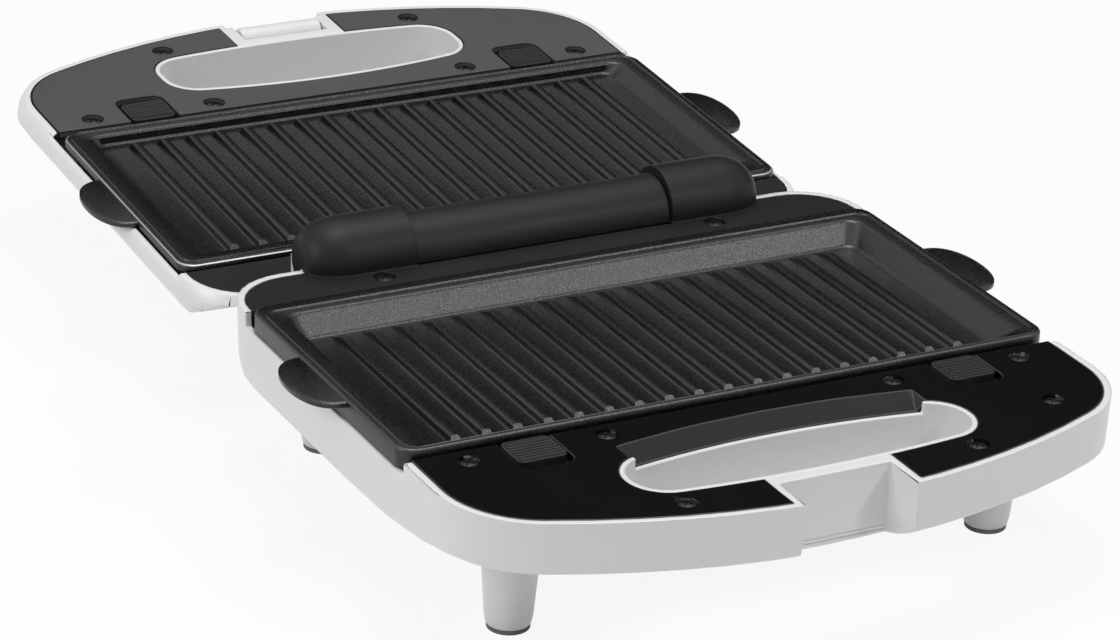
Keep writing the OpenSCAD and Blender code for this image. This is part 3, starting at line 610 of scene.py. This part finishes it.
# ---- Pilot lamps ----
# Two small domed lenses, one red and one green, are pushed into holes in the lid's outer face
# from the inside, up to a flange. Their crowns stand level with the face round them.
for colour, shades, (x, y), crown in (
        ("red", ((0.5, 0.02, 0.02), (0.6, 0.03, 0.02)), (74, -176), -33.0),
        ("green", ((0.02, 0.36, 0.07), (0.03, 0.44, 0.09)), (88, -172), -31.3)):
    tinted, paint = finish_named(colour + "_lens", IOR=1.5)
    paint.noise(90, 3).blend(*shades).feed("Base Color")
    (paint.noise(200, 2) * 0.1 + 0.1).feed("Roughness")
    lens = lofted([[(x + radius * math.cos(a), y + radius * math.sin(a), z) for a in around]
                   for radius, z in ((3.1, -17), (3.1, -18.4), (4.4, -18.4), (4.4, -20), (3.1, -20),
                                     (3.1, crown + 0.8), (2.8, crown + 0.2), (2.1, crown - 0.15),
                                     (1.2, crown - 0.35), (0.3, crown - 0.42))], in_lid)
    lens.set_sharp_from_angle(angle=math.radians(50))
    piece_from(lens, f"lamp_lens_{colour}_cap", tinted, "lid",
               ["lamp_lens_" + colour])

# ---- Floor, light and camera ----
# A white floor under soft boxes, seen from the front left and above. A dark flag, which only
# mirrored rays see, hangs behind the toaster and darkens the upper faces.


def stage_plane(name, corners):
    mesh = bpy.data.meshes.new(name)
    mesh.from_pydata(corners, [], [(0, 1, 2, 3)])
    plane = bpy.data.objects.new(name, mesh)
    bpy.context.scene.collection.objects.link(plane)
    made = bpy.data.materials.new(name)
    made.use_nodes = True
    mesh.materials.append(made)
    return plane, made.node_tree


def seen_ray(tree):
    """1 for a ray that shows the background, and 0 for one that only carries light."""
    paint = Paint(tree)
    rays = [paint.node("LightPath", pick=name) for name in
            ("Is Camera Ray", "Is Glossy Ray", "Is Transmission Ray")]
    return paint.sum("MAXIMUM", paint.sum("MAXIMUM", rays[0], rays[1]), rays[2])


floor, tree = stage_plane("studio_floor", [(-8, -8, 0), (8, -8, 0), (8, 8, 0), (-8, 8, 0)])
shader = tree.nodes["Principled BSDF"]
shader.inputs["Base Color"].default_value = (0.78, 0.78, 0.78, 1)
shader.inputs["Roughness"].default_value = 0.9
shader.inputs["Specular IOR Level"].default_value = 0.0
glow = Paint(tree).node("Emission", sockets={"Color": (1.0, 1.0, 1.0), "Strength": 1.0})
lit = seen_ray(tree) * 0.9
mixer = tree.nodes.new("ShaderNodeMixShader")
tree.links.new(lit.output, mixer.inputs[0])
tree.links.new(shader.outputs[0], mixer.inputs[1])
tree.links.new(glow.output, mixer.inputs[2])
tree.links.new(mixer.outputs[0], tree.nodes["Material Output"].inputs[0])

azimuth, elevation, roll = math.radians(-28.29), math.radians(23.92), math.radians(2.39)
across = Vector((math.cos(azimuth), math.sin(azimuth), 0))
beyond = Vector((-across.y, across.x, 0))
flag, tree = stage_plane("dark_flag", [
    3.0 * beyond + sideways * across + Vector((0, 0, height))
    for sideways, height in ((-3.2, 0.1), (5, 0.1), (5, 2.4), (-3.2, 2.4))])
tree.nodes["Principled BSDF"].inputs["Base Color"].default_value = (0.01, 0.01, 0.01, 1)
tree.nodes["Principled BSDF"].inputs["Specular IOR Level"].default_value = 0.0
flag.visible_camera = False
flag.visible_diffuse = False
flag.visible_shadow = False
flag.visible_transmission = False

world = bpy.data.worlds.new("studio")
world.use_nodes = True
bpy.context.scene.world = world
tree = world.node_tree
tree.nodes["Background"].inputs["Color"].default_value = (1, 1, 1, 1)
tree.links.new((seen_ray(tree) * 0.78 + 0.22).output, tree.nodes["Background"].inputs["Strength"])


def soft_box(name, size, power, spot, aim=(0, 0, 0.05)):
    lamp = bpy.data.lights.new(name, "AREA")
    lamp.shape = "RECTANGLE"
    lamp.size, lamp.size_y = size
    lamp.energy = power
    made = bpy.data.objects.new(name, lamp)
    bpy.context.scene.collection.objects.link(made)
    made.location = spot
    made.rotation_euler = (Vector(aim) - Vector(spot)).to_track_quat("-Z", "Y").to_euler()


soft_box("top_box", (0.8, 0.8), 13, (0.12, 0.02, 1.5))
soft_box("left_box", (0.7, 0.7), 8, (-1.4, -0.1, 0.85))
soft_box("front_box", (0.24, 0.2), 6.5, (0.8, -1.4, 1.2))

sensor_width, focal_pixels, frame_pixels, camera_distance = 36, 4051.69, 1120, 1.32126
camera_data = bpy.data.cameras.new("camera")
camera_data.sensor_width = sensor_width
camera_data.lens = focal_pixels / frame_pixels * sensor_width
camera_data.clip_start = 0.05
camera = bpy.data.objects.new("camera", camera_data)
bpy.context.scene.collection.objects.link(camera)
backward = Vector((math.sin(azimuth) * math.cos(elevation),
                   -math.cos(azimuth) * math.cos(elevation), math.sin(elevation)))
upright = backward.cross(across)
right = math.cos(roll) * across + math.sin(roll) * upright
above = math.cos(roll) * upright - math.sin(roll) * across
target = hinge_place + Vector((-0.02535, -0.07236, 0))
camera.matrix_world = (Matrix.Translation(target + camera_distance * backward)
                       @ Matrix((right, above, backward)).transposed().to_4x4())
bpy.context.scene.camera = camera
bpy.context.scene.view_settings.view_transform = "Standard"
